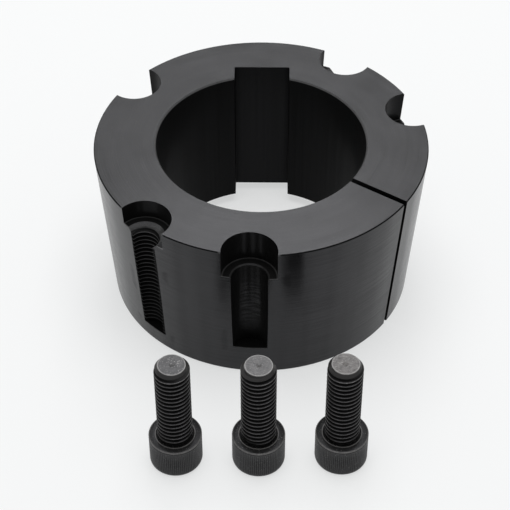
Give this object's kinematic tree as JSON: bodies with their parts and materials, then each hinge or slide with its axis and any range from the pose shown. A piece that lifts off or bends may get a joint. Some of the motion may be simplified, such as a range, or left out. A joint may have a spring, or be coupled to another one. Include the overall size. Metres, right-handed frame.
{
  "type": "taper bush",
  "caption": "Split tapered clamping bush with a keyed bore, half-round screw holes down its cone and a saw cut, its socket cap screws standing beside it.",
  "frame": {"origin": "on the bush's axis, at its small end, which is also the surface it and the screws stand on", "axes": "+Z along the bush's axis, from the small end to the large end; +Y through the middle of the keyway; the screws stand in a row on the -Y side"},
  "size_m": [0.127, 0.1735, 0.065],
  "materials": {
    "bush_iron": "dark phosphate over turned and ground iron",
    "screw_steel": "black oxide, worn brighter at the tips"
  },
  "bodies": {
    "root": {"taper_bush": "bush_iron", "cap_screw_left": "screw_steel", "cap_screw_middle": "screw_steel", "cap_screw_right": "screw_steel"}
  },
  "joints": []
}
